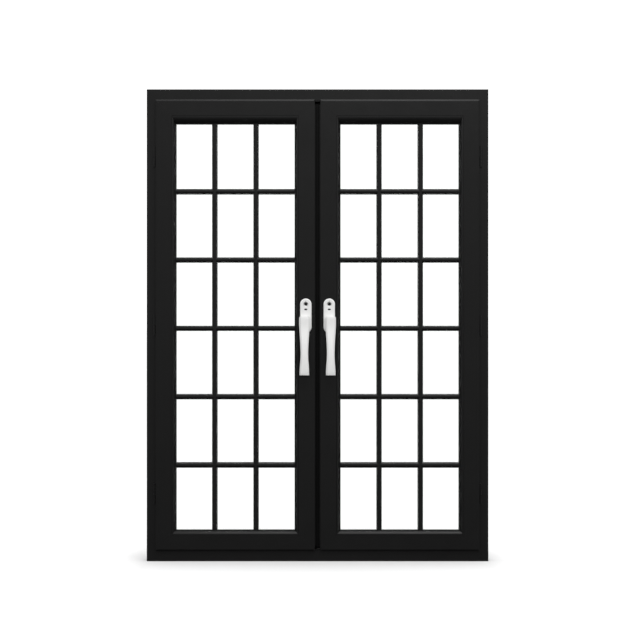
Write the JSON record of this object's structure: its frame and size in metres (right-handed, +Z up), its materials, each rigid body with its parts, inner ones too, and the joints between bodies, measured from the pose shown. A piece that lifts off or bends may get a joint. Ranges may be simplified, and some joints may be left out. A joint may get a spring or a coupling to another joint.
{
  "type": "french doors",
  "caption": "Pair of glazed outward-opening doors in a black mitred frame, each with a grid of glazing bars, and white cranked lever handles beside the meeting line.",
  "frame": {"origin": "middle of the sill's underside, halfway through the depth of the frame", "axes": "+X across the opening to the right as seen from the handle side, +Z up, -Y towards the viewer, the side to which the leaves open"},
  "size_m": [1.52, 0.1411, 2.1],
  "materials": {
    "black_coat": "matte black powder coat",
    "black_bead": "matte black powder coat",
    "black_bar": "satin black",
    "hinge_coat": "satin black",
    "cast_cleat": "as cast",
    "clear_glass": "clear float",
    "spacer_bar": "black anodised",
    "black_rubber": "matte",
    "packer_plastic": "moulded",
    "white_enamel": "white enamel",
    "zinc_steel": "zinc plated",
    "lock_metal": "nickel plated"
  },
  "bodies": {
    "frame": {"frame_head": "black_coat", "frame_sill": "black_coat", "frame_jamb_left": "black_coat", "frame_jamb_right": "black_coat", "frame_cleats": "cast_cleat", "frame_seal_front": "black_rubber", "frame_seal_back": "black_rubber", "bolt_keeps": "zinc_steel", "hinge_frame_barrels": "hinge_coat", "hinge_pins": "hinge_coat"},
    "leaf_left": {"hinge_stile_left": "black_coat", "meeting_stile_left": "black_coat", "top_rail_left": "black_coat", "bottom_rail_left": "black_coat", "corner_cleats_left": "cast_cleat", "glass_outer_left": "clear_glass", "glass_inner_left": "clear_glass", "glass_spacer_left": "spacer_bar", "glazing_beads_left": "black_bead", "glazing_gaskets_left": "black_rubber", "glass_packers_left": "packer_plastic", "bars_front_left": "black_bar", "bars_back_left": "black_bar", "handle_plate_left": "white_enamel", "handle_screws_left": "zinc_steel", "gearbox_case_left": "zinc_steel", "hinge_leaf_barrels_left": "hinge_coat", "meeting_strip": "black_coat"},
    "handle_left": {"lever_left": "white_enamel", "spindle_left": "zinc_steel", "pinion_left": "zinc_steel"},
    "upper_bolt_rod_left": {"upper_bolt_rod_left": "zinc_steel"},
    "lower_bolt_rod_left": {"lower_bolt_rod_left": "zinc_steel"},
    "lock_cylinder_left": {"lock_cylinder_left": "lock_metal"},
    "lock_button_left": {"lock_button_left": "white_enamel"},
    "leaf_right": {"hinge_stile_right": "black_coat", "meeting_stile_right": "black_coat", "top_rail_right": "black_coat", "bottom_rail_right": "black_coat", "corner_cleats_right": "cast_cleat", "glass_outer_right": "clear_glass", "glass_inner_right": "clear_glass", "glass_spacer_right": "spacer_bar", "glazing_beads_right": "black_bead", "glazing_gaskets_right": "black_rubber", "glass_packers_right": "packer_plastic", "bars_front_right": "black_bar", "bars_back_right": "black_bar", "handle_plate_right": "white_enamel", "handle_screws_right": "zinc_steel", "gearbox_case_right": "zinc_steel", "hinge_leaf_barrels_right": "hinge_coat", "meeting_seal": "black_rubber"},
    "handle_right": {"lever_right": "white_enamel", "spindle_right": "zinc_steel", "pinion_right": "zinc_steel"},
    "upper_bolt_rod_right": {"upper_bolt_rod_right": "zinc_steel"},
    "lower_bolt_rod_right": {"lower_bolt_rod_right": "zinc_steel"},
    "lock_cylinder_right": {"lock_cylinder_right": "lock_metal"},
    "lock_button_right": {"lock_button_right": "white_enamel"}
  },
  "joints": [
    {"name": "leaf_left_swing", "type": "hinge", "parent": "frame", "child": "leaf_left", "pos_m": [-0.7255, -0.0405, 1.05], "axis": [0, 0, -1], "range_deg": [0, 110]},
    {"name": "handle_left_turn", "type": "hinge", "parent": "leaf_left", "child": "handle_left", "pos_m": [-0.052, -0.06, 1.058], "axis": [0, 1, 0], "range_deg": [0, 90]},
    {"name": "upper_bolt_left", "type": "slide", "parent": "leaf_left", "child": "upper_bolt_rod_left", "axis": [0, 0, 1], "range_m": [0, 0.01415]},
    {"name": "lower_bolt_left", "type": "slide", "parent": "leaf_left", "child": "lower_bolt_rod_left", "axis": [0, 0, -1], "range_m": [0, 0.01415]},
    {"name": "lock_left_turn", "type": "hinge", "parent": "leaf_left", "child": "lock_cylinder_left", "pos_m": [-0.052, -0.06, 1.1437], "axis": [0, 1, 0], "range_deg": [0, 90]},
    {"name": "button_left_press", "type": "slide", "parent": "leaf_left", "child": "lock_button_left", "axis": [0, 1, 0], "range_m": [0, 0.003], "stiffness_N_per_m": 200},
    {"name": "leaf_right_swing", "type": "hinge", "parent": "frame", "child": "leaf_right", "pos_m": [0.7255, -0.0405, 1.05], "axis": [0, 0, 1], "range_deg": [0, 110]},
    {"name": "handle_right_turn", "type": "hinge", "parent": "leaf_right", "child": "handle_right", "pos_m": [0.052, -0.06, 1.058], "axis": [0, -1, 0], "range_deg": [0, 90]},
    {"name": "upper_bolt_right", "type": "slide", "parent": "leaf_right", "child": "upper_bolt_rod_right", "axis": [0, 0, 1], "range_m": [0, 0.01415]},
    {"name": "lower_bolt_right", "type": "slide", "parent": "leaf_right", "child": "lower_bolt_rod_right", "axis": [0, 0, -1], "range_m": [0, 0.01415]},
    {"name": "lock_right_turn", "type": "hinge", "parent": "leaf_right", "child": "lock_cylinder_right", "pos_m": [0.052, -0.06, 1.1437], "axis": [0, -1, 0], "range_deg": [0, 90]},
    {"name": "button_right_press", "type": "slide", "parent": "leaf_right", "child": "lock_button_right", "axis": [0, 1, 0], "range_m": [0, 0.003], "stiffness_N_per_m": 200}
  ],
  "couplings": [
    {"joint": "upper_bolt_left", "follows": "handle_left_turn", "m_per_rad": 0.009},
    {"joint": "lower_bolt_left", "follows": "handle_left_turn", "m_per_rad": 0.009},
    {"joint": "upper_bolt_right", "follows": "handle_right_turn", "m_per_rad": 0.009},
    {"joint": "lower_bolt_right", "follows": "handle_right_turn", "m_per_rad": 0.009}
  ]
}
